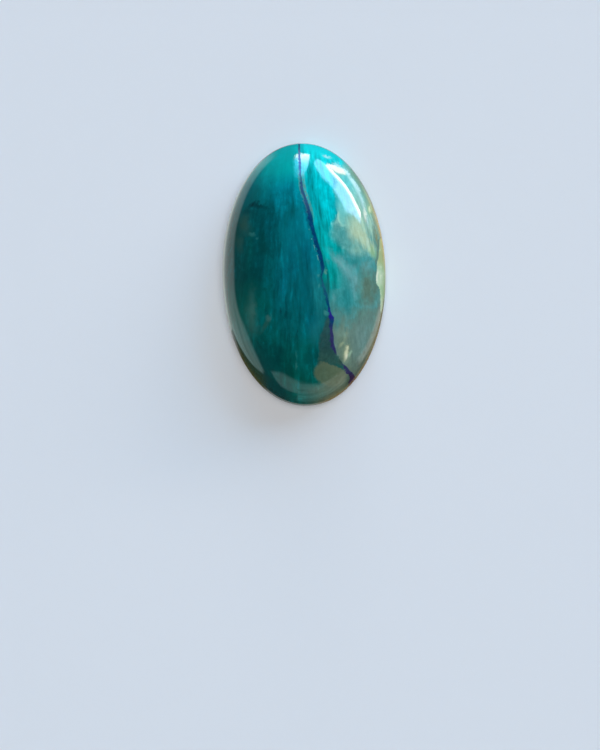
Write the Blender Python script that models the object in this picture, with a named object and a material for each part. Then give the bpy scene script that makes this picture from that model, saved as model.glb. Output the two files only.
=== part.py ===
"""A polished oval cabochon of shattuckite: a domed stone with a flat back.

Units are metres, +Z is up. The origin is the middle of the flat back, +Y runs
along the oval and +X across it. The stone is one solid.
"""

import math

import bmesh
import bpy

# Driving dimensions
LENGTH = 0.0340  # along Y, at the widest line of the stone
WIDTH = 0.0211  # along X, at the same line
GIRDLE_HEIGHT = 0.0013  # back to the line where the dome starts
DOME_HEIGHT = 0.0059  # girdle to the crown
GIRDLE_LEAN = 0.00022  # how far the girdle wall leans in by its top
BACK_BEVEL = 0.00030  # ground off the sharp edge of the back

# Shape of the curves
PLAN_EXPONENT = 2.046  # 2 is a true ellipse, more is fuller at the shoulders
SEGMENTS = 128  # points round the oval
DOME_RINGS = 22  # rings from the girdle to just under the crown
CROWN_STOP = math.radians(87)  # the last ring, where 90 degrees is the crown

STONE_COLOUR = (0.010, 0.150, 0.160, 1.0)
STONE_ROUGHNESS = 0.12
SMOOTH_LIMIT = math.radians(30)


def dome_start():
    """The angle on the dome's ellipse where its side leans as the girdle wall does."""
    wall_slope = GIRDLE_LEAN / (GIRDLE_HEIGHT - BACK_BEVEL)
    lean = wall_slope * DOME_HEIGHT / (WIDTH / 2 - GIRDLE_LEAN)
    return math.asin(lean / (1 - lean))


def powered(value, exponent):
    """A sine or cosine bent to a superellipse, with its sign kept."""
    return math.copysign(abs(value) ** (2 / exponent), value)


def oval(inset, share, height):
    """One ring of points: the oval drawn in by inset, then scaled about the axis."""
    half_width = (WIDTH / 2 - inset) * share
    half_length = (LENGTH / 2 - inset) * share
    ring = []
    for step in range(SEGMENTS):
        angle = 2 * math.pi * step / SEGMENTS
        x = half_width * powered(math.cos(angle), PLAN_EXPONENT)
        y = half_length * powered(math.sin(angle), PLAN_EXPONENT)
        ring.append((x, y, height))
    return ring


def rings():
    """The back's edge, the bevel, the girdle wall and the dome, from the bottom up."""
    stack = [oval(BACK_BEVEL, 1, 0), oval(0, 1, BACK_BEVEL)]
    start = dome_start()
    for step in range(DOME_RINGS):
        angle = start + (CROWN_STOP - start) * step / (DOME_RINGS - 1)
        share = math.cos(angle) / math.cos(start)
        rise = (math.sin(angle) - math.sin(start)) / (1 - math.sin(start))
        stack.append(oval(GIRDLE_LEAN, share, GIRDLE_HEIGHT + DOME_HEIGHT * rise))
    return stack


def skin(mesh, lower, upper):
    """A belt of quads between two rings with the same number of points."""
    for step in range(SEGMENTS):
        after = (step + 1) % SEGMENTS
        mesh.faces.new((lower[step], lower[after], upper[after], upper[step]))


def stone_mesh():
    mesh = bmesh.new()
    loops = [[mesh.verts.new(point) for point in ring] for ring in rings()]
    for lower, upper in zip(loops, loops[1:]):
        skin(mesh, lower, upper)
    mesh.faces.new(reversed(loops[0]))  # the flat back, one face
    top_face = mesh.faces.new(loops[-1])
    crown = bmesh.ops.poke(mesh, faces=[top_face])["verts"][0]
    crown.co.z = GIRDLE_HEIGHT + DOME_HEIGHT
    bmesh.ops.recalc_face_normals(mesh, faces=mesh.faces)
    data = bpy.data.meshes.new("cabochon")
    mesh.to_mesh(data)
    mesh.free()
    data.shade_smooth()
    data.set_sharp_from_angle(angle=SMOOTH_LIMIT)
    return data


def stone_material():
    material = bpy.data.materials.new("polished shattuckite")
    material.use_nodes = True
    shader = material.node_tree.nodes["Principled BSDF"]
    shader.inputs["Base Color"].default_value = STONE_COLOUR
    shader.inputs["Roughness"].default_value = STONE_ROUGHNESS
    shader.inputs["Metallic"].default_value = 0.0
    return material


def clear_scene():
    for leftover in list(bpy.data.objects):
        bpy.data.objects.remove(leftover)


def main():
    clear_scene()
    stone = bpy.data.objects.new("cabochon", stone_mesh())
    stone.data.materials.append(stone_material())
    bpy.context.scene.collection.objects.link(stone)


main()
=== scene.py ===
import math

import bpy
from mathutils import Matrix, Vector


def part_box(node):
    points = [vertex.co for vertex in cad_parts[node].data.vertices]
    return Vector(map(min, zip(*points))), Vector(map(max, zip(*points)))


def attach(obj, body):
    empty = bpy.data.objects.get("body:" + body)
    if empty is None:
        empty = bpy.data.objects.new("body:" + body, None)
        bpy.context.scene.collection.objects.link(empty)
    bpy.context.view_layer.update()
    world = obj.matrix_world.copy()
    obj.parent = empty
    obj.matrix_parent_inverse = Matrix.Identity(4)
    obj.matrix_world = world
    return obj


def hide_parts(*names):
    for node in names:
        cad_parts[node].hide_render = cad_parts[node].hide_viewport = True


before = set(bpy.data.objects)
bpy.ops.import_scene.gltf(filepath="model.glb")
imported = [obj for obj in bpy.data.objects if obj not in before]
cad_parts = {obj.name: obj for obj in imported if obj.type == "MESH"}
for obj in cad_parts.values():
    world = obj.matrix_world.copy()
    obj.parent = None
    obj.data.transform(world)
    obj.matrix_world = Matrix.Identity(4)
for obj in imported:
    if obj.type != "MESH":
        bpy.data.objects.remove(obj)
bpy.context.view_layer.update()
mm = 0.001


class Wire:
    # one output in a node tree; a sum on it adds a Math node
    def __init__(self, tree, socket):
        self.tree = tree
        self.socket = socket

    def math(self, operation, *others, clamp=False):
        return mathNode(self.tree, operation, self, *others, clamp=clamp)

    def __add__(self, other):
        return self.math("ADD", other)

    def __sub__(self, other):
        return self.math("SUBTRACT", other)

    def __mul__(self, other):
        return self.math("MULTIPLY", other)

    def __truediv__(self, other):
        return self.math("DIVIDE", other)

    def __pow__(self, other):
        return self.math("POWER", other)

    def __neg__(self):
        return self.math("MULTIPLY", -1.0)

    def __abs__(self):
        return self.math("ABSOLUTE")

    def __radd__(self, other):
        return self.math("ADD", other)

    def __rmul__(self, other):
        return self.math("MULTIPLY", other)

    def __rsub__(self, other):
        return mathNode(self.tree, "SUBTRACT", other, self)

    def __rtruediv__(self, other):
        return mathNode(self.tree, "DIVIDE", other, self)


def mathNode(tree, operation, *values, clamp=False):
    return addNode(tree, "ShaderNodeMath", {"operation": operation, "use_clamp": clamp},
                   dict(enumerate(values)))


def addNode(tree, kind, settings=None, values=None, output=0):
    # settings go on first, then numbers or wires go to the sockets
    node = tree.nodes.new(kind)
    for name, setting in (settings or {}).items():
        if name == "stops":
            fillRamp(node.color_ramp, setting)
        elif name == "points":
            fillCurve(node.mapping, setting)
        else:
            setattr(node, name, setting)
    for name, value in (values or {}).items():
        socket = node.inputs[name]
        if isinstance(value, Wire):
            tree.links.new(value.socket, socket)
        else:
            socket.default_value = value
    return Wire(tree, node.outputs[output])


def fillRamp(ramp, stops):
    while len(ramp.elements) > 1:
        ramp.elements.remove(ramp.elements[0])
    ramp.elements[0].position = stops[0][0]
    ramp.elements[0].color = stops[0][1]
    for place, tone in stops[1:]:
        ramp.elements.new(place).color = tone


def fillCurve(mapping, points):
    curve = mapping.curves[0]
    curve.points[0].location = points[0]
    curve.points[1].location = points[-1]
    for middle in points[1:-1]:
        curve.points.new(*middle)
    for corner in curve.points:
        corner.handle_type = "VECTOR"
    mapping.update()


def groupInputs(tree, kinds):
    # named inputs of a group, each as a wire inside it
    for name, kind in kinds.items():
        tree.interface.new_socket(name, in_out="INPUT", socket_type=kind)
    node = tree.nodes.new("NodeGroupInput")
    return {name: Wire(tree, node.outputs[name]) for name in kinds}


def groupOutput(tree, name, kind, wire):
    tree.interface.new_socket(name, in_out="OUTPUT", socket_type=kind)
    tree.links.new(wire.socket, tree.nodes.new("NodeGroupOutput").inputs[name])


def apart(vector):
    node = addNode(vector.tree, "ShaderNodeSeparateXYZ", None, {0: vector}).socket.node
    return [Wire(vector.tree, socket) for socket in node.outputs]


def point(tree, x, y, z):
    return addNode(tree, "ShaderNodeCombineXYZ", None, {0: x, 1: y, 2: z})


def steady(tree, tone):
    # one colour as a wire
    wire = addNode(tree, "ShaderNodeRGB")
    wire.socket.default_value = (*tone, 1.0)
    return wire


def blend(under, over, factor):
    return addNode(under.tree, "ShaderNodeMix", {"data_type": "RGBA", "clamp_factor": True},
                   {0: factor, 6: under, 7: over}, 2)


def shade(colour, factor):
    return addNode(colour.tree, "ShaderNodeVectorMath", {"operation": "SCALE"},
                   {0: colour, "Scale": factor})


easyCurve = {"interpolation_type": "SMOOTHSTEP", "clamp": False}  # stays within its ends by itself


def rise(value, low, high):
    # 0 below low, 1 above high, with an easy curve between
    return addNode(value.tree, "ShaderNodeMapRange", easyCurve,
                   {"Value": value, "From Min": low, "From Max": high})


def fall(value, low, high):
    # 1 below low, 0 above high
    return addNode(value.tree, "ShaderNodeMapRange", easyCurve,
                   {"Value": value, "From Min": low, "From Max": high, "To Min": 1.0, "To Max": 0.0})


def between(value, low, high, edge):
    # 1 from low to high, softened by edge on both sides
    return rise(value, low - edge, low + edge) * fall(value, high - edge, high + edge)


def grain(where, size, detail=3.0, roughness=0.55, twist=0.0):
    return addNode(where.tree, "ShaderNodeTexNoise", None,
                   {"Vector": where, "Scale": size, "Detail": detail,
                    "Roughness": roughness, "Distortion": twist})


def swing(noise, reach=4.5):
    # noise as a number from -1 to 1
    return ((noise - 0.5) * reach).math("MINIMUM", 1.0).math("MAXIMUM", -1.0)


# The cabochon's shape

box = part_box("cabochon")
stoneShape = {
    "Length": box[1][1] - box[0][1],
    "Width": box[1][0] - box[0][0],
    "Height": box[1][2] - box[0][2],
    "Girdle Height": 1.3 * mm,
    "Girdle Lean": 0.22 * mm,  # the wall leans in by this at its top
    "Back Bevel": 0.3 * mm,
    "Plan Exponent": 2.046,  # 2 is a true ellipse
    "Hand Polish": 0.06 * mm,  # how far the dome wanders from a true curve
    "Polish Size": 4.2 * mm,
    "Seed": 4,
}
stoneMesh = {
    "around": 320,
    "back": 14,
    "bevel": 6,
    "wall": 8,
    "dome": 110,
}


def bent(wave, exponent):
    # a sine or cosine bent to a superellipse, with its sign kept
    return wave.math("SIGN") * abs(wave) ** (2.0 / exponent)


def stoneTree(material):
    tree = bpy.data.node_groups.new("cabochonShape", "GeometryNodeTree")
    kinds = {name: "NodeSocketInt" if isinstance(size, int) else "NodeSocketFloat"
             for name, size in stoneShape.items()}
    size = groupInputs(tree, kinds)
    rows = sum(stoneMesh[part] for part in ("back", "bevel", "wall", "dome"))
    columns = stoneMesh["around"]
    sheet = addNode(tree, "GeometryNodeMeshGrid", None,
                    {"Vertices X": columns + 1, "Vertices Y": rows + 1})
    index = addNode(tree, "GeometryNodeInputIndex")
    column = (index / (rows + 1.0)).math("FLOOR")
    row = index - column * (rows + 1.0)
    turn = column * (math.tau / columns)

    def progress(part):  # 0 before a part of the profile, 1 after it
        order = list(stoneMesh)[1:]
        first = sum(stoneMesh[name] for name in order[:order.index(part)])
        return ((row - float(first)) / float(stoneMesh[part])).math("ADD", 0.0, clamp=True)

    back, bevel, wall, dome = (progress(part) for part in ("back", "bevel", "wall", "dome"))
    bevelTurn = bevel * (math.pi / 2)
    girdleRise = size["Girdle Height"] - size["Back Bevel"]
    domeHeight = size["Height"] - size["Girdle Height"]
    lean = size["Girdle Lean"] / girdleRise * domeHeight / (size["Width"] / 2.0 - size["Girdle Lean"])
    startSine = lean / (1.0 - lean)  # the dome leaves the wall at the wall's own slope
    startTurn = startSine.math("ARCSINE")
    domeTurn = startTurn + (math.pi / 2 - startTurn) * dome
    inset = size["Back Bevel"] * (1.0 - bevelTurn.math("SINE")) + size["Girdle Lean"] * wall
    share = back * domeTurn.math("COSINE") / startTurn.math("COSINE")
    climb = (domeTurn.math("SINE") - startSine) / (1.0 - startSine)
    height = (size["Back Bevel"] * (1.0 - bevelTurn.math("COSINE"))
              + girdleRise * wall + domeHeight * climb)
    across = (size["Width"] / 2.0 - inset) * share * bent(turn.math("COSINE"), size["Plan Exponent"])
    along = (size["Length"] / 2.0 - inset) * share * bent(turn.math("SINE"), size["Plan Exponent"])
    shaped = addNode(tree, "GeometryNodeSetPosition", None,
                     {"Geometry": sheet, "Position": point(tree, across, along, height)})
    weld = 0.002 * mm  # closes the seam and the two poles
    closed = addNode(tree, "GeometryNodeMergeByDistance", None,
                     {"Geometry": shaped, "Distance": weld})

    here = addNode(tree, "GeometryNodeInputPosition")
    normal = addNode(tree, "GeometryNodeInputNormal")
    wander = addNode(tree, "ShaderNodeTexNoise", {"noise_dimensions": "4D"},
                     {"Vector": here, "W": size["Seed"],
                      "Scale": 1.0 / size["Polish Size"], "Detail": 1.0})
    fullFrom, softness = 0.45, 0.1  # the wander is full where the normal points up by this much
    facingUp = apart(normal)[2].math("SMOOTH_MIN", fullFrom, softness) / fullFrom
    step = (wander - 0.5) * size["Hand Polish"] * facingUp.math("MAXIMUM", 0.0)
    shift = addNode(tree, "ShaderNodeVectorMath", {"operation": "SCALE"},
                    {0: normal, "Scale": step})
    polished = addNode(tree, "GeometryNodeSetPosition", None,
                       {"Geometry": closed, "Offset": shift})
    smooth = addNode(tree, "GeometryNodeSetShadeSmooth", None, {"Geometry": polished})
    solid = addNode(tree, "GeometryNodeRealizeInstances", None, {"Geometry": smooth})
    finished = addNode(tree, "GeometryNodeSetMaterial", None,
                       {"Geometry": solid, "Material": material})
    groupOutput(tree, "Geometry", "NodeSocketGeometry", finished)
    return tree


def plainMesh(name, tree, sizes):
    # runs the tree once and keeps its result as an ordinary mesh
    maker = bpy.data.objects.new(name + " maker", bpy.data.meshes.new(name + " maker"))
    bpy.context.scene.collection.objects.link(maker)
    modifier = maker.modifiers.new("shape", "NODES")
    modifier.node_group = tree
    for item in tree.interface.items_tree:
        if item.in_out == "INPUT":
            modifier[item.identifier] = sizes[item.name]
    maker.update_tag()
    depsgraph = bpy.context.evaluated_depsgraph_get()
    mesh = bpy.data.meshes.new_from_object(maker.evaluated_get(depsgraph),
                                           depsgraph=depsgraph)
    maker.modifiers.remove(modifier)
    bpy.data.objects.remove(maker)
    mesh.name = name
    piece = bpy.data.objects.new(name, mesh)
    bpy.context.scene.collection.objects.link(piece)
    return piece


# Where the camera stands, which also tells where a mark that it sees lies on the dome

view = {
    "distance": 156.0,  # millimetres above the widest line of the stone
    "offset": (-0.8, -13.0),  # millimetres from the stone's middle
    "roll": -1.23,  # degrees
    "frameHeight": 97.2,  # millimetres seen from top to bottom at the widest line
    "sensor": 36.0,
}


def onDome(seenX, seenY):
    # marks are placed as seen from above, on the plane of the widest line, then moved up onto the dome
    halfWidth, halfLength = stoneShape["Width"] / 2 / mm, stoneShape["Length"] / 2 / mm
    girdle, top = stoneShape["Girdle Height"] / mm, stoneShape["Height"] / mm
    widest = stoneShape["Back Bevel"] / mm
    midX, midY = view["offset"]
    x, y = seenX, seenY
    for attempt in range(8):  # each one brings the place closer
        flat = min(1.0, (x / halfWidth) ** 2 + (y / halfLength) ** 2)
        lift = girdle + (top - girdle) * math.sqrt(1.0 - flat) - widest
        near = 1.0 - lift / view["distance"]
        x, y = midX + (seenX - midX) * near, midY + (seenY - midY) * near
    return x, y


# The stone's colours and pattern, with places and sizes in millimetres

tints = {
    "bottleGreen": (0.0, 0.115, 0.094),
    "deepGreen": (0.0, 0.085, 0.078),
    "inkTeal": (0.0, 0.07, 0.07),
    "petrol": (0.0, 0.128, 0.148),
    "petrolBlue": (0.0, 0.125, 0.19),
    "lagoon": (0.0, 0.134, 0.145),
    "blueSilk": (0.0, 0.24, 0.29),
    "turquoise": (0.0, 0.35, 0.325),
    # turquoise with painted silk sheen, used beside the window highlight
    "turquoiseWithSilkSheen": (0.0, 0.415, 0.425),
    "greenTurquoise": (0.0, 0.33, 0.295),
    "clearCyan": (0.004, 0.58, 0.56),
    "inkyGreen": (0.0, 0.022, 0.028),
    "shadeGreen": (0.0, 0.055, 0.058),
    "shadeOlive": (0.012, 0.052, 0.034),
    "clearTeal": (0.02, 0.25, 0.245),
    "greyTeal": (0.055, 0.3, 0.275),
    "tealMilk": (0.045, 0.295, 0.275),
    "greyMilk": (0.155, 0.25, 0.2),
    "greenMilk": (0.26, 0.51, 0.41),
    "mintTeal": (0.16, 0.52, 0.44),
    "clearMint": (0.12, 0.62, 0.6),
    "paleMint": (0.6, 0.82, 0.8),
    "milkyTeal": (0.18, 0.33, 0.3),
    "haze": (0.19, 0.415, 0.395),
    "sage": (0.33, 0.5, 0.34),
    "cream": (0.57, 0.63, 0.37),
    "yellowGreen": (0.36, 0.56, 0.25),
    "ivory": (0.98, 0.93, 0.74),
    "butter": (0.98, 0.89, 0.68),
    "flame": (0.82, 0.8, 0.5),
    "mint": (0.5, 0.74, 0.52),
    "rimMint": (0.37, 0.6, 0.34),
    "rimCream": (0.41, 0.47, 0.21),
    "flax": (0.165, 0.235, 0.145),
    "olive": (0.14, 0.205, 0.135),
    # olive stone with a painted reflection of amber crystals, near the right rim
    "oliveAndAmberReflection": (0.26, 0.24, 0.09),
    "oliveTeal": (0.045, 0.115, 0.085),
    "brownOlive": (0.14, 0.185, 0.105),
    "rimOlive": (0.155, 0.19, 0.12),
    "slate": (0.03, 0.078, 0.074),
    "navy": (0.0, 0.045, 0.13),
    "cobalt": (0.0, 0.05, 0.34),
    "blueTeal": (0.01, 0.11, 0.17),
    "violet": (0.035, 0.031, 0.125),
    "brightViolet": (0.02, 0.012, 0.22),
    "dustyViolet": (0.028, 0.078, 0.175),
    "plum": (0.024, 0.004, 0.062),
}
leftBody = [  # along the stone from its low end, the tint of its left side
    (-9.5, "deepGreen"), (-5.0, "bottleGreen"), (-0.5, "inkTeal"), (6.5, "inkTeal"),
    (10.8, "lagoon"), (15.5, "turquoise"),
]
middleBody = [
    (-14.0, "bottleGreen"), (-6.5, "lagoon"), (-0.5, "petrol"), (7.0, "petrol"),
    (10.0, "blueSilk"), (12.8, "turquoise"),
]
leftOfVein = [  # a soft band just left of the vein
    (-2.0, "clearTeal"), (1.0, "blueSilk"),
]
veinBand = [  # right of the vein
    # from 8 mm up, the stone's turquoise with painted silk sheen beside the window highlight
    (-4.0, "clearTeal"), (-1.0, "greenTurquoise"), (3.0, "turquoise"), (8.0, "turquoiseWithSilkSheen"),
    (11.5, "turquoiseWithSilkSheen"), (14.5, "clearCyan"),
]
paleBody = [  # the clouded side
    (-8.0, "greyMilk"), (-3.5, "tealMilk"), (1.5, "tealMilk"), (7.5, "greenMilk"), (10.5, "mintTeal"),
]
veinTints = [
    (-13.3, "plum"), (-12.7, "violet"), (-11.8, "violet"), (-11.4, "oliveTeal"), (-10.7, "oliveTeal"),
    (-10.2, "violet"), (-7.5, "violet"), (-6.5, "navy"), (-5.9, "brightViolet"), (-5.3, "brightViolet"),
    (-4.6, "navy"), (-2.0, "blueTeal"), (0.6, "navy"), (6.8, "navy"), (8.3, "dustyViolet"),
    (12.3, "dustyViolet"), (13.2, "cobalt"), (14.5, "cobalt"), (15.8, "navy"),
]
veinPath = [  # along the stone, across it, half its width
    (-14.4, 5.85, 0.35), (-13.4, 5.95, 0.43), (-13.0, 5.8, 0.38), (-12.6, 5.45, 0.27),
    (-12.2, 5.22, 0.22), (-11.8, 4.85, 0.12), (-11.2, 4.35, 0.08), (-10.6, 4.0, 0.12),
    (-10.1, 3.8, 0.2), (-9.0, 3.43, 0.24), (-8.0, 3.44, 0.24), (-7.0, 3.35, 0.19),
    (-5.7, 3.5, 0.3), (-5.1, 3.25, 0.15), (-4.0, 3.05, 0.15),
    (-2.5, 2.75, 0.2), (-0.4, 2.2, 0.1), (0.5, 2.45, 0.15), (1.0, 2.5, 0.2),
    (2.4, 2.2, 0.25), (4.0, 1.7, 0.25), (6.5, 1.1, 0.25), (7.5, 0.95, 0.3),
    (9.0, 0.6, 0.25), (11.0, 0.0, 0.2), (13.0, -0.2, 0.15), (16.7, -0.28, 0.12),
]
paleEdge = [  # along the stone, where the pale side starts across it
    (-14.0, 5.3), (-10.5, 3.7), (-7.0, 3.35), (-3.0, 3.3), (-2.1, 3.5), (-1.8, 4.6),
    (0.0, 4.55), (0.9, 4.35), (1.9, 4.0), (2.4, 4.8), (3.0, 5.1), (3.8, 4.5), (4.9, 3.7),
    (6.2, 3.9), (7.2, 4.3), (8.2, 4.65), (9.5, 4.7), (11.0, 4.2), (13.0, 4.5), (16.5, 6.5),
]
stripEdge = [  # along the stone, where the mint rim starts across it
    (-6.0, 10.6), (-5.1, 9.8), (-3.0, 9.85), (-1.8, 9.8), (-1.6, 9.5), (-1.2, 9.35),
    (-0.5, 9.32), (0.2, 9.45), (1.5, 9.5), (2.0, 9.7), (3.0, 9.8), (4.4, 9.9), (5.2, 10.6),
]
wedgeEdge = [  # along the stone, the left edge of the slate wedge
    (-11.6, 1.6), (-10.3, 1.75), (-8.4, 1.8), (-7.7, 2.0), (-7.2, 2.3), (-6.2, 2.6), (-5.2, 3.0),
]
scallopEdge = [  # along the stone, the mint line inside the pale side
    (5.9, 5.5), (6.2, 5.1), (6.7, 4.75), (7.2, 4.5), (8.2, 4.5), (9.0, 4.4), (10.5, 4.3),
]
broadMarks = [
    # tint, across and along as seen, half width, half length, turn in degrees, strength, softness
    ("sage", 7.8, 8.2, 2.3, 2.6, 12, 0.55, 0.9),
    ("mintTeal", 5.5, 7.6, 0.8, 1.8, 8, 0.6, 0.7),
    ("clearMint", 4.95, 8.8, 0.7, 1.5, 10, 0.55, 0.9),
    ("mintTeal", 6.6, 11.3, 0.9, 2.4, 28, 0.55, 0.85),
    ("clearMint", 5.9, 12.0, 0.55, 1.5, 32, 0.75, 0.85),
    ("greenMilk", 7.4, 9.8, 0.7, 3.0, 24, 0.4, 0.9),
    ("sage", 9.0, 5.8, 0.6, 1.6, 10, 0.5, 0.95),
    ("cream", 7.1, 5.5, 1.4, 1.9, 30, 0.68, 0.9),
    ("cream", 8.2, 4.0, 0.8, 1.6, 44, 0.6, 0.85),
    ("sage", 7.0, 3.1, 1.1, 1.2, 30, 0.5, 0.95),
    ("yellowGreen", 9.0, 2.8, 0.6, 1.1, 28, 0.7, 0.9),
    ("greyTeal", 4.8, 5.3, 1.0, 1.3, -8, 0.8, 0.85),
    ("clearTeal", 6.4, 2.0, 1.6, 0.9, 6, 0.52, 0.9),
    ("milkyTeal", 8.3, 0.9, 1.1, 1.1, 0, 0.45, 0.9),
    ("haze", 4.75, 1.5, 0.6, 2.1, 44, 0.55, 0.95),
    ("haze", 5.7, 0.35, 0.85, 1.5, 36, 0.5, 0.95),
    ("haze", 4.7, 1.4, 0.2, 1.3, 45, 0.35, 0.9),
    ("haze", 6.5, -1.3, 0.85, 2.0, -3, 0.46, 0.95),
    ("olive", 8.35, -1.9, 1.75, 3.0, -3, 0.88, 0.9),
    ("oliveTeal", 8.3, -2.3, 0.6, 1.7, 0, 0.25, 0.95),
    ("clearTeal", 5.5, -3.1, 1.0, 2.0, 0, 0.8, 0.9),
    ("clearTeal", 4.6, -3.8, 0.9, 1.0, 0, 0.45, 0.9),
    ("clearTeal", 5.6, -5.0, 0.5, 0.7, 0, 0.4, 0.9),
    ("olive", 7.8, -5.6, 1.4, 1.5, 0, 0.62, 0.95),
    ("greyMilk", 8.9, -5.6, 0.9, 2.6, -6, 0.5, 0.95),
    ("sage", 4.6, -7.8, 0.65, 1.8, -8, 0.2, 0.9),
    ("clearTeal", 4.2, -6.4, 0.5, 1.0, 0, 0.4, 0.9),
    ("flax", 5.0, -9.9, 1.0, 2.2, 8, 0.7, 0.9),
    ("milkyTeal", 7.5, -7.8, 1.3, 3.2, -12, 0.45, 0.95),
    ("shadeGreen", -5.9, 8.2, 1.9, 0.8, -8, 0.5, 0.95),
    ("shadeGreen", -3.7, -10.5, 0.8, 1.8, 2, 0.6, 0.85),
    ("shadeGreen", -2.8, -5.4, 0.9, 1.8, -6, 0.3, 0.95),
    ("clearTeal", 1.3, -7.5, 0.9, 2.0, -4, 0.3, 0.95),
    ("blueSilk", 0.2, -1.6, 1.0, 3.0, -3, 0.2, 0.95),
    ("blueSilk", -1.0, 6.2, 1.5, 2.4, 0, 0.24, 0.95),
    ("bottleGreen", -0.2, -9.4, 1.1, 2.4, 0, 0.62, 0.95),
    ("bottleGreen", -5.2, 10.8, 1.6, 1.7, 0, 0.3, 0.95),
    ("bottleGreen", -4.2, -8.0, 1.0, 1.6, 0, 0.4, 0.95),
    ("shadeGreen", 0.8, -10.9, 1.2, 1.4, 0, 0.42, 0.95),
    ("milkyTeal", -6.75, -3.4, 0.6, 2.1, 0, 0.14, 0.95),
    ("milkyTeal", -6.95, -5.6, 0.95, 2.3, 6, 0.15, 0.95),
    ("oliveTeal", -7.6, 6.7, 0.85, 1.5, 10, 0.4, 0.95),
    ("oliveTeal", -8.35, 4.3, 0.6, 1.4, 8, 0.3, 0.95),
    ("shadeGreen", -4.9, -11.0, 1.9, 3.2, 22, 0.62, 0.95),
]
smallMarks = [  # the same values in the same order
    ("butter", 4.66, 13.62, 0.54, 1.15, 64, 0.97, 0.45),
    ("ivory", 3.8, 14.02, 0.36, 0.7, 70, 0.8, 0.55),
    ("butter", 5.45, 13.25, 0.28, 0.62, 55, 0.85, 0.6),
    # these five paleMint marks: a painted reflection, a pale streak along the rim outside the window
    # highlight
    ("paleMint", 4.7, 14.15, 0.34, 0.85, 60, 0.6, 0.8),
    ("paleMint", 5.85, 13.25, 0.24, 1.0, 42, 0.8, 0.85),
    ("paleMint", 6.6, 12.0, 0.3, 1.3, 32, 0.8, 0.9),
    ("paleMint", 7.3, 10.55, 0.3, 1.5, 23, 0.42, 0.9),
    ("paleMint", 7.85, 9.0, 0.24, 1.2, 15, 0.45, 0.9),
    ("paleMint", 3.25, 15.35, 0.26, 0.6, 70, 0.65, 0.85),
    ("ivory", 8.12, 7.6, 0.22, 0.95, 6, 0.7, 0.85),
    ("paleMint", 8.42, 6.8, 0.17, 0.9, 5, 0.45, 0.85),
    ("yellowGreen", 8.72, 8.3, 0.38, 0.75, 8, 0.85, 0.85),
    ("flame", 8.74, 8.35, 0.2, 0.48, 8, 0.85, 0.85),
    ("mint", 8.85, 5.95, 0.3, 0.9, 4, 0.45, 0.85),
    ("mint", 7.75, 6.6, 0.18, 1.2, 8, 0.45, 0.85),
    ("olive", 9.3, 5.0, 0.28, 1.7, 8, 0.6, 0.9),
    # a thin painted reflection of an amber crystal along the right rim
    ("oliveAndAmberReflection", 9.55, 4.8, 0.24, 1.1, 6, 0.7, 0.9),
    ("mint", 5.2, 6.35, 0.5, 0.24, 8, 0.45, 0.8),
    ("sage", 8.45, 10.2, 0.34, 1.9, 24, 0.45, 0.9),
    ("olive", 8.6, 4.2, 0.16, 0.8, 3, 0.4, 0.85),
    ("haze", 6.7, -0.8, 0.16, 0.7, 2, 0.5, 0.8),
    ("haze", 6.5, -2.6, 0.16, 0.9, 0, 0.3, 0.85),
    ("cream", 5.3, -10.4, 0.52, 1.3, -6, 0.32, 0.95),
    ("flame", 5.26, -10.22, 0.26, 1.0, -12, 0.88, 0.95),
    ("ivory", 5.25, -10.75, 0.2, 0.4, -10, 0.4, 0.95),
    ("mint", 5.74, -10.35, 0.2, 0.6, -24, 0.45, 0.9),
    ("cream", 4.62, -9.2, 0.2, 0.5, -40, 0.36, 0.95),
    ("cream", 5.3, -8.1, 0.34, 1.0, -12, 0.22, 0.95),
    ("inkyGreen", -6.45, 9.25, 0.82, 0.32, 24, 0.8, 0.95),
    ("inkyGreen", -5.85, 9.0, 0.7, 0.3, -20, 0.6, 0.95),
    ("shadeGreen", -5.0, 8.82, 0.9, 0.26, -10, 0.6, 0.9),
    ("shadeGreen", -7.1, 8.45, 0.95, 0.45, 12, 0.65, 0.9),
    ("greyTeal", -6.65, 5.35, 0.46, 0.32, -12, 0.3, 0.9),
    ("greyTeal", -6.05, 4.8, 0.18, 0.18, 0, 0.26, 0.9),
    ("oliveTeal", -5.15, -6.45, 0.34, 1.2, -30, 0.36, 0.95),
    ("milkyTeal", -4.75, -5.5, 0.36, 0.5, 0, 0.2, 0.9),
    ("greyTeal", -1.2, -10.3, 0.14, 0.6, 4, 0.24, 0.9),
    ("greyTeal", -1.28, -11.8, 0.18, 0.6, 0, 0.34, 0.85),
    ("inkyGreen", -3.1, -4.6, 0.17, 0.8, -3, 0.55, 0.85),
    ("inkyGreen", -2.45, -5.1, 0.22, 0.6, -4, 0.42, 0.9),
    ("inkyGreen", -5.1, -4.6, 0.16, 0.6, 0, 0.36, 0.85),
    ("inkyGreen", -1.05, -7.6, 0.14, 0.8, 3, 0.4, 0.85),
    ("inkyGreen", -2.1, -8.2, 0.15, 0.9, 0, 0.35, 0.9),
    ("inkyGreen", -3.6, 2.2, 0.09, 0.5, 0, 0.25, 0.85),
    ("greyTeal", 1.9, -0.1, 0.2, 0.3, 0, 0.5, 0.8),
    ("greyTeal", 1.92, -1.5, 0.15, 0.28, 0, 0.45, 0.8),
    ("greyTeal", 2.75, -5.0, 0.32, 0.46, 12, 0.7, 0.75),
    ("sage", 2.8, 0.35, 0.2, 0.4, 0, 0.35, 0.8),
    ("greyTeal", 3.1, 1.7, 0.22, 0.6, 20, 0.4, 0.85),
    ("haze", 3.8, -3.1, 0.26, 0.6, 6, 0.25, 0.85),
]
fibres = {
    "apex": (-0.5, 44.0),  # the fibres fan out from this point
    "fine": (4.2, 0.6),  # per millimetre across, then along
    "strand": (1.6, 0.22),
    "fold": (0.62, 0.13),
    "tone": (0.42, 0.09),
    "wander": 0.14,  # millimetres that a fibre strays from the fan
    "fineDepth": 0.12,
    "strandDepth": 0.4,
    "foldDepth": 0.28,
    "mottleDepth": 0.15,
}
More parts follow.
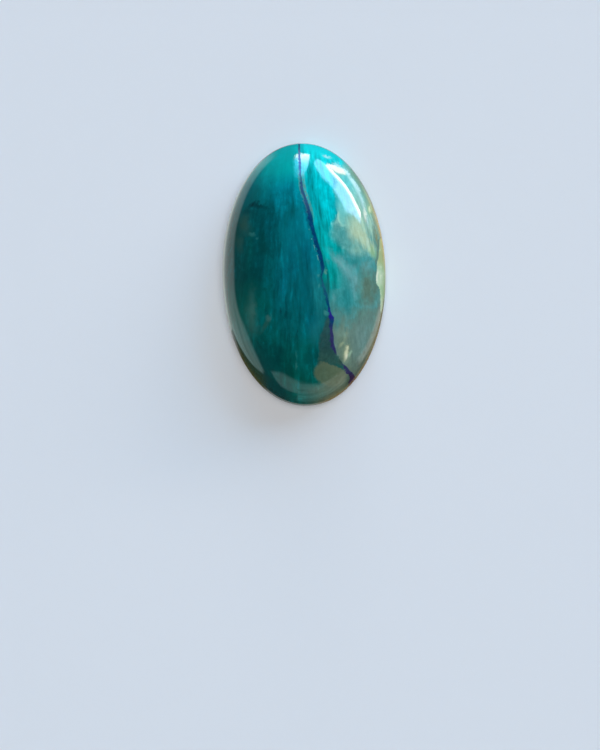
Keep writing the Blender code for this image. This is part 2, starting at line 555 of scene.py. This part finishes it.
strata = {  # in millimetres
    "halfWidth": 10.4,  # of the dome that the layers follow
    "halfLength": 16.8,
    "rise": 5.9,
    "girdle": 1.3,
    "skin": 0.5,  # this much of the top shows no dip
    "dip": (0.22, 0.15),  # how far the layers move over for each millimetre down
    "wobble": 0.8,  # sizes of the noises, per millimetre
    "fray": 3.2,
    "mottle": 1.6,
    "clouds": (0.42, 0.26),
}
gloss = {
    "polished": 0.045,  # roughness of the dome
    "vein": 0.1,
    "veinTop": 0.42,  # near the upper end, where the vein is pitted
    "back": 0.46,
    "index": 1.66,
    "bump": 0.35,
    "bumpDepth": 0.02 * mm,
}


def tint(name):
    return (*tints[name], 1.0)


def tintWire(tree, name):
    # a tint that can itself be blended or shaded
    return steady(tree, tints[name])


def run(along, stops, span=17.0):
    return addNode(along.tree, "ShaderNodeValToRGB",
                   {"stops": [((y + span) / (2 * span), tint(name)) for y, name in stops]},
                   {0: (along + span) / (2 * span)})


def traced(along, places, column=1, reach=(-12.0, 12.0), span=17.0):
    # the value that a row of places gives at this height on the stone
    low, high = reach
    points = []
    for place in places:
        x, y = onDome(place[1], place[0])
        value = x if column == 1 else place[column]
        points.append(((y + span) / (2 * span), (value - low) / (high - low)))
    line = addNode(along.tree, "ShaderNodeFloatCurve", {"points": points},
                   {"Value": (along + span) / (2 * span)})
    return line * (high - low) + low


def ovalMark():
    # lays a soft oval of one tint over what is under it
    group = bpy.data.node_groups.new("ovalMark", "ShaderNodeTree")
    kinds = {"Under": "NodeSocketColor", "Tint": "NodeSocketColor"}
    kinds.update({name: "NodeSocketFloat" for name in (
        "X", "Y", "Centre X", "Centre Y", "Half Width", "Half Length", "Turn",
        "Strength", "Softness", "Ragged")})
    given = groupInputs(group, kinds)
    turn = given["Turn"].math("RADIANS")
    right, up = given["X"] - given["Centre X"], given["Y"] - given["Centre Y"]
    wide = (right * turn.math("COSINE") + up * turn.math("SINE")) / given["Half Width"]
    tall = (up * turn.math("COSINE") - right * turn.math("SINE")) / given["Half Length"]
    distance = (wide * wide + tall * tall).math("SQRT") + given["Ragged"]
    mask = fall(distance, 1.0 - given["Softness"], 1.0 + given["Softness"] * 0.4)
    groupOutput(group, "Colour", "NodeSocketColor",
                blend(given["Under"], given["Tint"], mask * given["Strength"]))
    return group


def layMarks(colour, marks, group, x, y, ragged):
    for name, seenX, seenY, halfWidth, halfLength, turn, strength, softness in marks:
        centreX, centreY = onDome(seenX, seenY)
        colour = addNode(colour.tree, "ShaderNodeGroup", {"node_tree": group},
                         {"Under": colour, "Tint": tint(name), "X": x, "Y": y,
                          "Centre X": centreX, "Centre Y": centreY, "Half Width": halfWidth,
                          "Half Length": halfLength, "Turn": turn, "Strength": strength,
                          "Softness": softness, "Ragged": ragged})
    return colour


def stoneGrain(tree):
    # places in millimetres, and the noises that every part of the pattern shares
    space = addNode(tree, "ShaderNodeTexCoord", output="Object")
    x0, y0, z = apart(addNode(tree, "ShaderNodeVectorMath", {"operation": "SCALE"},
                              {0: space, "Scale": 1000.0}))
    halfWidth, halfLength = strata["halfWidth"], strata["halfLength"]
    flat = (x0 * x0) / halfWidth ** 2 + (y0 * y0) / halfLength ** 2  # 0 in the middle, 1 at the rim
    dome = (1.0 - flat.math("MINIMUM", 1.0)).math("SQRT") * strata["rise"] + strata["girdle"]
    depth = (dome - z - strata["skin"]).math("MAXIMUM", 0.0)
    dipX, dipY = strata["dip"]
    x1 = x0 - depth * dipX  # the layers dip, so the back shows them moved over
    y1 = y0 + depth * dipY
    apexX, apexY = fibres["apex"]
    bend = swing(grain(point(tree, x1 * 0.3, y1 * 0.22, 31.0), 1.0, 2.0, 0.5))
    fan = (x1 - apexX) * apexY / (apexY - y1) + bend * fibres["wander"]

    def silk(name, detail, lift):
        across, along = fibres[name]
        return swing(grain(point(tree, fan * across, y1 * along, z * 0.3 + lift), 1.0, detail, 0.6))

    cloudX, cloudY = strata["clouds"]
    cloudPlace = point(tree, x1 * cloudX, y1 * cloudY, z * 0.3 + 2.0)
    aroundRim = (y0 / halfLength).math("ARCTAN2", x0 / halfWidth) * 3.2
    here = {
        "x0": x0, "y0": y0, "z": z, "x1": x1, "y1": y1, "depth": depth,
        "wobble": swing(grain(point(tree, x1, y1, z), strata["wobble"], 3.0)),
        "fray": swing(grain(point(tree, x1, y1 * 0.7, z + 9.0), strata["fray"], 2.0)),
        "mottle": swing(grain(point(tree, x1, y1 * 0.75, z + 14.0), strata["mottle"], 5.0, 0.62, 0.3)),
        "clouds": swing(grain(cloudPlace, 1.0, 4.0, 0.6, 0.6)),
        "fine": silk("fine", 3.0, 0.0),
        "strand": silk("strand", 3.0, 5.0),
        "fold": silk("fold", 2.0, 11.0),
        "tone": silk("tone", 2.0, 23.0),
        "flat": flat,
        "rimSilk": swing(grain(point(tree, flat * 13.0, aroundRim, 27.0), 1.0, 4.0, 0.62)),
    }
    here["x"] = x1 + here["wobble"] * 0.1 + here["fray"] * 0.05
    here["y"] = y1 + here["fray"] * 0.1 + here["wobble"] * 0.1
    return here


def silkBody(here, offVein, rightSide):
    # dark green at the left, bluer silk in the middle, turquoise at the top and beside the vein; the
    # silk's streaks and glints carry painted sheen
    x, y, fold, strand, fine = (here[name] for name in ("x", "y", "fold", "strand", "fine"))
    clouds, mottle = here["clouds"], here["mottle"]
    upperLeft = rise(y - x * 0.6, 9.5, 14.5) * (1.0 - rightSide)
    unrest = 1.0 - upperLeft * 0.65
    middle = rise(x + (fold * 1.1 + clouds + mottle * 0.4) * unrest, -6.8, -1.8)
    left = run(y + (clouds * 0.9 + mottle * 0.5) * unrest, leftBody)
    centre = run(y + (fold + mottle * 0.6) * unrest, middleBody)
    body = blend(left, centre, middle)
    body = blend(body, tint("petrolBlue"), rise(here["tone"] + strand * 0.4, 0.0, 1.3) * middle
                 * between(y, -8.0, 8.0, 2.0) * 0.55)
    body = blend(body, tint("bottleGreen"), fall(here["tone"] + strand * 0.4, -1.3, 0.0)
                 * fall(y - x * 0.6, 9.0, 13.0) * 0.35)
    beside = fall(abs(offVein + 0.85 + strand * 0.25), 0.2, 1.5) * between(y, -7.5, 9.5, 1.2)
    body = blend(body, run(y, leftOfVein), beside * 0.34)
    body = blend(body, run(y + strand, veinBand), rightSide)
    patchy = rise(mottle * 0.5 + clouds * 0.6, -0.8, 0.8)
    silky = (0.4 + 0.6 * middle * (1.0 - upperLeft * 0.8)) * (0.45 + 0.75 * patchy) + rightSide * 0.3
    # brighter and darker fibre streaks: the fibres' own tone with painted silk sheen
    light = (fine * fibres["fineDepth"] + strand * fibres["strandDepth"]
             + fold * fibres["foldDepth"]) * silky + mottle * fibres["mottleDepth"]
    light = light * unrest + 1.0
    body = shade(body, light + clouds * 0.06)
    # painted glints of silk sheen along the strands, in a bluer tint
    paintedSilkGlints = rise(strand + fine * 0.6 + mottle * 0.4, 0.35, 1.5) * silky * (1.0 - rightSide)
    return blend(body, tint("blueSilk"), paintedSilkGlints * 0.45)


def milkySide(here, body, paleSide, oval):
    # the pale, clouded side, streaked near its outer edge
    x, y, strand, fine = (here[name] for name in ("x", "y", "strand", "fine"))
    milk = run(y + here["clouds"] * 1.4 + here["mottle"] * 0.8, paleBody)
    milk = blend(milk, tint("haze"), rise(here["clouds"] + here["mottle"] * 0.5, 0.0, 1.2) * 0.3)
    colour = blend(body, milk, paleSide)
    ragged = here["wobble"] * 0.22 + here["mottle"] * 0.12 + strand * 0.08
    colour = layMarks(colour, broadMarks, oval, x, y, ragged)
    light = fine * 0.11 + strand * 0.05 + here["mottle"] * 0.14 + here["wobble"] * 0.07 - 0.025
    colour = shade(colour, 1.0 + light * paleSide)
    nearRim = rise(here["flat"], 0.52, 0.68) * between(y, 1.5, 14.0, 1.0) * rise(x, 4.5, 6.5)
    colour = shade(colour, 1.0 + here["rimSilk"] * nearRim * 0.16)
    colour = blend(colour, tint("paleMint"), rise(here["rimSilk"], 0.3, 1.1) * nearRim * 0.45)
    streaky = between(x, 7.0, 9.2, 0.5) * between(y, 2.4, 8.6, 0.8)
    colour = blend(colour, tint("cream"), rise(fine + strand * 0.6, 0.0, 1.0) * streaky * 0.4)
    return blend(colour, tint("olive"), fall(fine + strand * 0.6, -1.0, 0.0) * streaky * 0.36)


def slateWedge(here, colour, rightSide):
    # the slate wedge left of the vein, and the brown window under it
    x, y, mottle = here["x"], here["y"], here["mottle"]
    edge = traced(y, wedgeEdge)
    inside = rise(x + here["strand"] * 0.12 + mottle * 0.14 - edge, -0.2, 0.2)
    wedge = inside * (1.0 - rightSide) * between(y, -11.9, -5.6, 0.45)
    slate = blend(tintWire(x.tree, "slate"), tint("oliveTeal"), fall(y, -11.0, -9.4) * 0.6)
    slate = blend(colour, slate, 0.88)
    slate = shade(slate, 1.0 + mottle * 0.2 + here["fray"] * 0.12)
    colour = blend(colour, slate, wedge * (0.92 + here["fray"] * 0.08))
    windowX, windowY = onDome(3.16, -12.9)
    wide, tall = (x - windowX + (y - windowY) * 0.2) / 2.2, (y - windowY) / 1.75
    window = fall((wide * wide + tall * tall).math("SQRT") + here["wobble"] * 0.07, 0.82, 1.04)
    window = window * (1.0 - rise(x - traced(y, veinPath), -0.35, -0.05))
    overWindow = y + 11.45 + (x - 2.4).math("MAXIMUM", 0.0) * 0.42
    window = window * fall(overWindow, -0.1, 0.16) * (0.74 + rise(x, 1.6, 4.0) * 0.18)
    return blend(colour, shade(tintWire(x.tree, "brownOlive"), mottle * 0.14 + 1.0), window)


def rimTones(here, colour):
    # near the outline: cyan at the top right, olive with a painted amber reflection under it, olive at
    # the low right, darker stone with painted shade at the low left
    x, y, flat = here["x"], here["y"], here["flat"]
    cyan = rise(flat, 0.78, 0.9) * rise(y, 13.2, 15.0) * rise(x, -1.5, 1.5)
    colour = blend(colour, tint("clearCyan"), cyan * 0.9)
    # darker stone and painted shade along the rim at the low left, the side turned away from the
    # windows
    dark = rise(flat, 0.75, 0.84) * fall(y, -9.5, -7.0) * fall(x, -3.2, -1.0)
    darkStoneAndShade = blend(tintWire(x.tree, "shadeGreen"), tint("shadeOlive"), fall(x, -6.2, -4.8))
    colour = blend(colour, darkStoneAndShade, dark * 0.78)
    # olive stone with a painted amber reflection along the upper right rim
    warm = rise(flat, 0.84, 0.96) * between(y, 4.5, 14.0, 2.0) * rise(x, 5.0, 6.5)
    colour = blend(colour, tint("oliveAndAmberReflection"), warm * 0.5)
    olive = rise(flat, 0.7, 0.84) * fall(y, -12.5, -10.5) * between(x, 1.0, 6.2, 2.2)
    outer = rise(flat, 0.84, 0.96) * fall(y, -5.5, -3.5) * rise(x, 4.0, 6.5)
    olive = olive.math("MAXIMUM", outer * 0.8)
    olive = olive * (0.78 + here["clouds"] * 0.14 + here["strand"] * 0.06)
    lowRight = fall(y, -12.0, -10.0) * rise(flat, 0.78, 0.95) * rise(x, 4.5, 6.0)
    light = here["mottle"] * 0.16 + 1.0 - lowRight * 0.3
    return blend(colour, shade(tintWire(x.tree, "rimOlive"), light), olive)


def mintRim(here, colour):
    # a scalloped mint line, and a mint rim with a dark line inside it
    x, y, y1 = here["x"], here["y"], here["y1"]
    scallop = x - traced(y, scallopEdge)
    bright = between(y, 5.5, 8.8, 0.5) * (1.0 - rise(y, 6.4, 8.8) * 0.7)
    inner = rise(scallop, -0.16, 0.12) * fall(scallop, 0.14, 0.9)
    colour = blend(colour, tint("mintTeal"), inner * bright * 0.65)
    line = rise(scallop, -0.12, 0.06) * fall(scallop, 0.1, 0.34)
    colour = blend(colour, tint("mint"), line * between(y, 5.8, 7.2, 0.4) * 0.5)
    inStrip = here["x1"] + here["fray"] * 0.05 - traced(y1 + here["fray"] * 0.18, stripEdge)
    reach = 5.2 - here["depth"] * 0.25 + here["clouds"] * 0.9 + here["fray"] * 0.25
    inStrip = inStrip - (abs(y1) - reach).math("MAXIMUM", 0.0) * 2.2
    innerLine = (1.0 - rise(abs(inStrip + 0.12), 0.05, 0.2)) * between(y, 0.9, 4.3, 0.4)
    colour = blend(colour, tint("olive"), innerLine * 0.75)
    paler = rise(here["mottle"] + here["wobble"] * 0.5, -0.2, 1.0) * 0.45
    paler = paler + between(y, -1.8, 0.2, 0.4) * 0.4
    paler = paler * (1.0 - rise(here["flat"], 0.88, 0.97) * 0.8)
    paler = paler + between(y, -6.0, -3.4, 0.5) * 0.35
    paler = paler + between(inStrip, -0.1, 0.28, 0.06) * between(y, -1.4, 0.0, 0.3) * 0.5
    upper = blend(tintWire(x.tree, "rimMint"), tint("rimCream"), rise(y, -0.2, 1.8) * 0.85)
    strip = blend(upper, tint("ivory"), paler.math("MINIMUM", 1.0) * 0.7)
    strip = shade(strip, 1.0 + here["rimSilk"] * 0.1 + here["mottle"] * 0.05)
    lowest = 0.12 + (y1 / 5.4) ** 2.0 * 1.25 - here["wobble"] * 0.22 - here["fray"] * 0.1
    return blend(colour, strip, rise(inStrip, -0.05, 0.12) * rise(here["z"] - lowest, -0.2, 0.2))


def veinOver(here, colour, offVein):
    # fringes and slivers beside the vein, then the vein over all; also gives the vein's mask
    y, fray, fine, wobble = (here[name] for name in ("y", "fray", "fine", "wobble"))
    greenFringe = between(offVein, 0.12, 0.46, 0.12) * between(y, -2.5, 5.5, 0.8)
    colour = blend(colour, tint("bottleGreen"), greenFringe * (0.42 + here["mottle"] * 0.25))
    darkFringe = between(offVein, -0.52, -0.1, 0.12) * between(y, 5.6, 9.0, 0.7)
    colour = blend(colour, tint("navy"), darkFringe * 0.45)
    flecks = between(offVein, -0.46, -0.22, 0.1) * between(y, 0.9, 5.2, 0.4)
    colour = blend(colour, tint("mintTeal"), flecks * rise(fray, 0.1, 0.8) * 0.6)
    greyFringe = between(offVein, -0.3, 0.5, 0.12) * between(y, 6.8, 12.6, 0.8)
    colour = blend(colour, tint("greyMilk"), greyFringe * (0.42 + fray * 0.28))
    goldFringe = between(offVein, 0.24, 0.44, 0.08) * between(y, 6.4, 11.4, 0.8)
    colour = blend(colour, tint("brownOlive"), goldFringe * rise(fray + wobble * 0.5, -0.3, 0.7) * 0.55)
    veinTint = blend(run(y, veinTints), tint("dustyViolet"), rise(fray + wobble * 0.5, 0.4, 1.4) * 0.35)
    veinTint = shade(veinTint, 1.0 + here["mottle"] * 0.25)
    half = traced(here["y1"], veinPath, 2, (0.0, 1.0))
    rough = half * (1.0 + fray * 0.32 + fine * 0.14)
    dusty = between(y, 7.0, 12.6, 0.7)
    mask = fall(abs(offVein) - rough, -0.07 - 0.06 * dusty, 0.07)
    mask = mask * (1.0 - dusty * rise(wobble + fray * 0.8, 0.1, 1.3) * 0.15)
    faint = 1.0 - between(y, -11.7, -10.4, 0.15) * 0.45
    return blend(colour, veinTint, mask * faint * 0.96), mask


def shattuckite():
    material = bpy.data.materials.new("polishedShattuckite")
    material.use_nodes = True
    tree = material.node_tree
    tree.nodes.clear()
    here = stoneGrain(tree)
    oval = ovalMark()
    offVein = here["x1"] + here["fray"] * 0.07 + here["wobble"] * 0.03
    offVein = offVein - traced(here["y1"] + here["fray"] * 0.1, veinPath)
    rightSide = rise(offVein, -0.05, 0.22)
    paleStart = here["x"] + here["strand"] * 0.22 + here["mottle"] * 0.24 - traced(here["y"], paleEdge)
    paleBlur = 0.28 + between(here["y"], -6.0, 5.4, 0.9) * 0.42
    paleSide = rise(paleStart, -paleBlur, paleBlur + 0.15) * rightSide

    colour = silkBody(here, offVein, rightSide)
    colour = milkySide(here, colour, paleSide, oval)
    colour = slateWedge(here, colour, rightSide)
    colour = rimTones(here, colour)
    deeper = colour  # what the back shows too
    ragged = here["wobble"] * 0.22 + here["fray"] * 0.24
    colour = layMarks(colour, smallMarks, oval, here["x"], here["y"], ragged)
    colour = mintRim(here, colour)

    # the back is lapped flat and stays matt
    facing = apart(addNode(tree, "ShaderNodeNewGeometry", output="Normal"))[2]
    backMask = fall(facing, -0.8, -0.3)
    colour = blend(colour, deeper, backMask)
    colour, veinMask = veinOver(here, colour, offVein)
    colour = blend(colour, tint("clearTeal"), backMask * 0.25)
    lapped = point(tree, here["x0"] * 9.0 + here["y0"] * 3.0, here["y0"] * 0.8, 0.0)
    lapMarks = grain(lapped, 1.0, 3.0, 0.7)

    nearTop = rise(here["y"], 11.8, 13.2)
    veinGloss = gloss["vein"] + nearTop * (gloss["veinTop"] - gloss["vein"])
    roughness = gloss["polished"] + veinMask * (veinGloss - gloss["polished"])
    roughness = roughness + here["fine"].math("MAXIMUM", 0.0) * 0.012
    roughness = roughness * (1.0 - backMask) + backMask * (gloss["back"] + lapMarks * 0.14)
    # kept short, as a bump reads its height three times; the vein runs straight near its top
    offTop = here["x0"] + 0.22
    pits = between(offTop, -0.7, 0.5, 0.2) * here["fray"] * 0.3
    groove = fall(abs(offTop), 0.06, 0.2) * 0.4
    relief = (pits - groove) * rise(here["y0"], 10.0, 12.5)
    relief = relief + backMask * lapMarks * 0.5 + here["strand"] * 0.04
    bump = addNode(tree, "ShaderNodeBump", None,
                   {"Height": relief, "Strength": gloss["bump"], "Distance": gloss["bumpDepth"]})
    shader = addNode(tree, "ShaderNodeBsdfPrincipled", None,
                     {"Base Color": colour, "Roughness": roughness, "Normal": bump,
                      "IOR": gloss["index"]})
    exitNode = tree.nodes.new("ShaderNodeOutputMaterial")
    tree.links.new(shader.socket, exitNode.inputs["Surface"])
    return material


stoneMaterial = shattuckite()
print("stone material: %d nodes" % len(stoneMaterial.node_tree.nodes))
stone = plainMesh("polishedCabochon", stoneTree(stoneMaterial), stoneShape)
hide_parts("cabochon")
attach(stone, "root")
print("cabochon: %d faces" % len(stone.data.polygons))

# Floor, daylight and camera

studio = {
    "floorRadius": 1.0,
    "floorTint": (0.815, 0.795, 0.815),
    "backdrop": (0.62, 0.66, 0.71),
    "fillTint": (0.97, 0.99, 1.0),
    "fillRadiance": 2.02,
    "fillSize": 1.6,  # metres
    "fillPlace": (0.1, 0.1, 1.4),
    "belowFill": (0.6, 0.61, 0.62),  # lights the back where no floor covers it
}
roomTones = {  # what the polish mirrors, as radiance
    "dark": (0.012, 0.013, 0.014),
    "wall": (0.05, 0.052, 0.055),  # towards the horizon
    "below": (0.045, 0.043, 0.04),
    "besideStone": (0.36, 0.36, 0.35),  # the desk close under the rim
    "leftDesk": (0.86, 0.92, 0.89),
    "farDesk": (0.5, 0.58, 0.62),
    "nearWall": (0.54, 0.82, 0.8),
    "benchWall": (0.28, 0.72, 0.72),
    "warmWall": (1.05, 0.9, 0.66),
    "leftBench": (0.9, 1.3, 1.25),
    "warmDesk": (0.33, 0.21, 0.08),
    "warmShade": (0.12, 0.1, 0.03),
    "rightDesk": (0.9, 0.8, 0.7),
    "warmRight": (0.95, 0.55, 0.12),
    "wideWindow": (2.6, 5.2, 8.2),
    "windowSill": (15.0, 13.5, 11.5),
    "narrowWindow": (2.4, 5.4, 8.4),
    "windowEdge": (0.6, 4.6, 7.2),
}
windows = {  # in degrees, as directions round the stone and heights over the horizon
    "wideRight": (23.2, 25.6),  # a side's soft start and end
    "wideLeft": (70.5, 74.0),
    "widePeak": (54.0, 10.9),  # where the sill is highest, and how high
    "wideBend": 0.0085,
    "wideTop": 31.5,
    "wideRightCorner": (34.5, 1.65),  # where the top starts to drop, and how fast
    "wideLeftCorner": (64.0, 0.085),
    "narrowRight": (80.5, 83.0),
    "narrowLeft": (93.2, 97.2),
    "narrowLean": 3.0,  # how far the left side moves out on its way up
    "narrowTop": (82.0, 26.0),  # a direction, and how high the slanted top is there
    "narrowLimit": 38.0,
}


def plainMaterial(name, colour, roughness):
    material = bpy.data.materials.new(name)
    material.use_nodes = True
    shader = material.node_tree.nodes["Principled BSDF"]
    shader.inputs["Base Color"].default_value = (*colour, 1.0)
    shader.inputs["Roughness"].default_value = roughness
    shader.inputs["Specular IOR Level"].default_value = 0.2
    return material


def floorSheet():
    # round, and open under the flat back so that the back can be seen from below
    count = 96
    turns = [side * math.tau / count for side in range(count)]
    inset = stoneShape["Back Bevel"] + 0.05 * mm  # the flat back just covers the opening's edge
    opening = (stoneShape["Width"] / 2 - inset, stoneShape["Length"] / 2 - inset)
    reach = (studio["floorRadius"], studio["floorRadius"])
    corners = [(across * math.cos(turn), along * math.sin(turn), 0)
               for across, along in (opening, reach) for turn in turns]
    faces = [(side, count + side, count + (side + 1) % count, (side + 1) % count)
             for side in range(count)]
    mesh = bpy.data.meshes.new("floor")
    mesh.from_pydata(corners, [], faces)
    mesh.materials.append(plainMaterial("paleFloor", studio["floorTint"], 0.8))
    sheet = bpy.data.objects.new("floor", mesh)
    bpy.context.scene.collection.objects.link(sheet)
    sheet.visible_glossy = False  # the polish mirrors the room's own desk tones instead


def tone(name):
    return (*roomTones[name], 1.0)


def toneWire(tree, name):
    return steady(tree, roomTones[name])


def compass(tree):
    # where a ray goes, in degrees, and the noises that roughen the room
    right, far, up = apart(addNode(tree, "ShaderNodeTexCoord"))
    azimuth = far.math("ARCTAN2", right).math("DEGREES")
    height = up.math("ARCSINE").math("DEGREES")

    def unrest(across, along, lift, detail, roughness=0.6):
        return swing(grain(point(tree, azimuth * across, height * along, lift), 1.0, detail, roughness))

    return {
        "azimuth": azimuth,
        "height": height,
        "behind": (-far).math("ARCTAN2", -right).math("DEGREES"),  # 0 is left, more is nearer
        "ripple": unrest(0.05, 0.45, 3.0, 3.0),
        "layers": unrest(0.015, 0.13, 6.0, 2.0, 0.5),
        "leaves": unrest(0.2, 0.22, 8.0, 3.0),
        "flecks": unrest(0.7, 0.5, 5.0, 2.0),
    }


def leftDesk(way, picture):
    # the desk at the left, from under the stone's rim up to about the horizon
    behind, height = way["behind"], way["height"]
    top = (rise(behind, -22.0, -6.0) * 5.5 + rise(behind, 0.0, 22.0) * 12.4
           - rise(behind, 30.0, 44.0) * 4.0 - 12.5)
    low = rise(behind, 2.0, 12.0) * 38.0 + (behind - 12.0).math("MAXIMUM", 0.0) * 1.62 - 90.0
    under = fall(height - low, -5.0, 3.0) * between(behind, 16.0, 46.0, 6.0)
    picture = blend(picture, tone("warmShade"), under)
    desk = fall(height - top, -4.5, 4.5) * rise(height - low, -4.0, 4.0)
    desk = desk * rise(behind, -70.0, -54.0) * fall(behind, 38.0, 42.5)
    layered = rise(behind, -4.0, 10.0) * way["layers"]
    desk = desk * (0.88 - 0.1 * way["ripple"] + layered * 0.28)
    colour = blend(toneWire(height.tree, "leftDesk"), tone("leftBench"), rise(behind, 5.0, 20.0))
    return blend(picture, colour, desk)


def nearWall(way, picture):
    # a pale wall on the near side, whose right half goes on down to a bench; also gives its mask
    behind, height = way["behind"], way["height"]
    top = 29.5 - (62.0 - behind).math("MAXIMUM", 0.0) ** 2.0 * 0.054
    top = top - (behind - 88.0).math("MAXIMUM", 0.0) * 0.33
    bench = rise(behind, 78.5, 81.5)
    tipLift = (60.0 - behind).math("MAXIMUM", 0.0) * 0.8
    low = rise(height - tipLift, 2.5, 7.5) * (1.0 - bench) + rise(height, -31.0, -14.0) * bench
    wall = fall(height - top, -3.5, 2.5) * low * between(behind, 43.0, 136.0, 3.0)
    layered = bench * way["layers"]
    wall = wall * (0.86 + 0.12 * way["ripple"] + layered * 0.6 - fall(height, 4.0, 12.0) * 0.15)
    colour = toneWire(height.tree, "nearWall")
    colour = blend(colour, tone("benchWall"), bench * fall(height, 2.0, 14.0))
    colour = blend(colour, tone("warmWall"), rise(behind, 104.0, 134.0) * 0.75)
    return blend(picture, colour, wall), wall


def rightDesk(way, picture, wall):
    # warm and pale stretches of desk, from the near side round to the far right
    azimuth, height = way["azimuth"], way["height"]
    warm = fall(height, -34.0, -8.0) * between(azimuth, -74.0, 14.0, 14.0)
    gap = between(azimuth, -48.0, -24.0, 5.0) * rise(height, -58.0, -48.0)
    warm = warm * (1.0 - gap * 0.8) * (1.0 - wall)
    picture = blend(picture, tone("warmDesk"), warm)
    warm = 0.8 * between(azimuth, 17.0, 36.0, 8.0) * fall(height, -48.0, -36.0)
    picture = blend(picture, tone("warmRight"), warm)
    slanted = height + 42.0 + (azimuth + 8.0) * 1.26
    strip = between(slanted, -16.5, 9.0, 5.0) * between(azimuth, -31.0, -4.0, 4.0)
    picture = blend(picture, tone("rightDesk"), strip)
    far = between(height, -25.0, -8.0, 5.0) * between(azimuth, 28.0, 54.0, 8.0)
    return blend(picture, tone("farDesk"), far)


def wideWindow(way, picture):
    azimuth, height, flecks = (way[name] for name in ("azimuth", "height", "flecks"))
    peakAt, peak = windows["widePeak"]
    low = peak - (azimuth - peakAt) ** 2.0 * windows["wideBend"]
    rightCorner, rightDrop = windows["wideRightCorner"]
    leftCorner, leftDrop = windows["wideLeftCorner"]
    top = windows["wideTop"] - (rightCorner - azimuth).math("MAXIMUM", 0.0) * rightDrop
    top = top - (azimuth - leftCorner).math("MAXIMUM", 0.0) ** 2.0 * leftDrop + way["leaves"] * 1.2
    above = height - 7.0
    glass = rise(azimuth + above * 0.5, *windows["wideRight"])
    glass = glass * fall(azimuth - above * 0.3, *windows["wideLeft"])
    glass = glass * rise(height, low - 0.8, low + 0.8) * fall(height, top - 3.0, top + 2.0)
    overSill = height - low
    pale = fall(overSill, 0.5, 9.0) * fall(azimuth, 52.0, 68.0) * 0.22
    sill = fall(overSill + flecks * 0.5, 3.2, 7.6) * fall(azimuth, 59.0, 67.0)
    colour = blend(toneWire(height.tree, "wideWindow"), tone("windowSill"), pale)
    picture = blend(picture, colour, glass)
    return blend(picture, tone("windowSill"), sill * glass)


def narrowWindow(way, picture):
    azimuth, height, flecks = (way[name] for name in ("azimuth", "height", "flecks"))
    topAt, topHeight = windows["narrowTop"]
    top = (topHeight + (azimuth - topAt) * 2.0).math("MINIMUM", windows["narrowLimit"])
    top = top + way["leaves"] * 1.5
    slanted = azimuth + flecks * 2.2 - rise(height, 2.0, 20.0) * windows["narrowLean"]
    glass = rise(azimuth, *windows["narrowRight"]) * fall(slanted, *windows["narrowLeft"])
    glass = glass * rise(height + flecks * 0.6, 1.8, 4.2) * fall(height, top - 3.0, top + 1.5)
    glass = glass * (1.0 - rise(height, 24.0, 33.0) * 0.35)
    colour = toneWire(height.tree, "narrowWindow")
    colour = blend(colour, tone("windowSill"), fall(height, 5.0, 26.0) * 0.7)
    colour = blend(colour, tone("windowEdge"), rise(azimuth, 92.5, 95.5) * rise(height, 8.0, 16.0))
    return blend(picture, colour, glass)


def room():
    # windows, walls and desk, laid out by compass direction and height
    world = bpy.data.worlds.new("room")
    world.use_nodes = True
    tree = world.node_tree
    tree.nodes.clear()
    way = compass(tree)
    height = way["height"]
    picture = blend(toneWire(tree, "wall"), tone("dark"), rise(height, 0.0, 40.0))
    picture = blend(picture, tone("below"), fall(height, -4.0, 2.0))
    picture = blend(picture, tone("besideStone"), fall(height, -64.0, -48.0))
    picture = leftDesk(way, picture)
    picture, wall = nearWall(way, picture)
    picture = rightDesk(way, picture, wall)
    picture = wideWindow(way, picture)
    picture = narrowWindow(way, picture)

    seen = addNode(tree, "ShaderNodeLightPath", output="Is Camera Ray")
    soft = addNode(tree, "ShaderNodeLightPath", output="Is Diffuse Ray")
    picture = blend(picture, (*studio["belowFill"], 1.0), soft * fall(height, -12.0, -4.0))
    picture = blend(picture, (*studio["backdrop"], 1.0), seen)
    background = addNode(tree, "ShaderNodeBackground", None, {"Color": picture})
    exitNode = tree.nodes.new("ShaderNodeOutputWorld")
    tree.links.new(background.socket, exitNode.inputs["Surface"])
    bpy.context.scene.world = world


def ceilingFill():
    light = bpy.data.lights.new("ceilingFill", "AREA")
    light.size = studio["fillSize"]
    light.color = studio["fillTint"]
    light.energy = studio["fillRadiance"] * light.size ** 2 * math.pi  # watts for this radiance
    lamp = bpy.data.objects.new("ceilingFill", light)
    lamp.location = studio["fillPlace"]
    lamp.visible_glossy = False
    bpy.context.scene.collection.objects.link(lamp)


def camera():
    data = bpy.data.cameras.new("camera")
    data.sensor_fit = "VERTICAL"
    data.sensor_height = view["sensor"]
    data.lens = view["sensor"] * view["distance"] / view["frameHeight"]
    data.clip_start = 0.005
    eye = bpy.data.objects.new("camera", data)
    x, y = view["offset"]
    eye.location = (x * mm, y * mm, view["distance"] * mm + stoneShape["Back Bevel"])
    eye.rotation_euler = (0, 0, math.radians(view["roll"]))
    bpy.context.scene.collection.objects.link(eye)
    bpy.context.scene.camera = eye


floorSheet()
room()
ceilingFill()
camera()
bpy.context.scene.view_settings.view_transform = "Standard"
print("floor, daylight and camera ready")
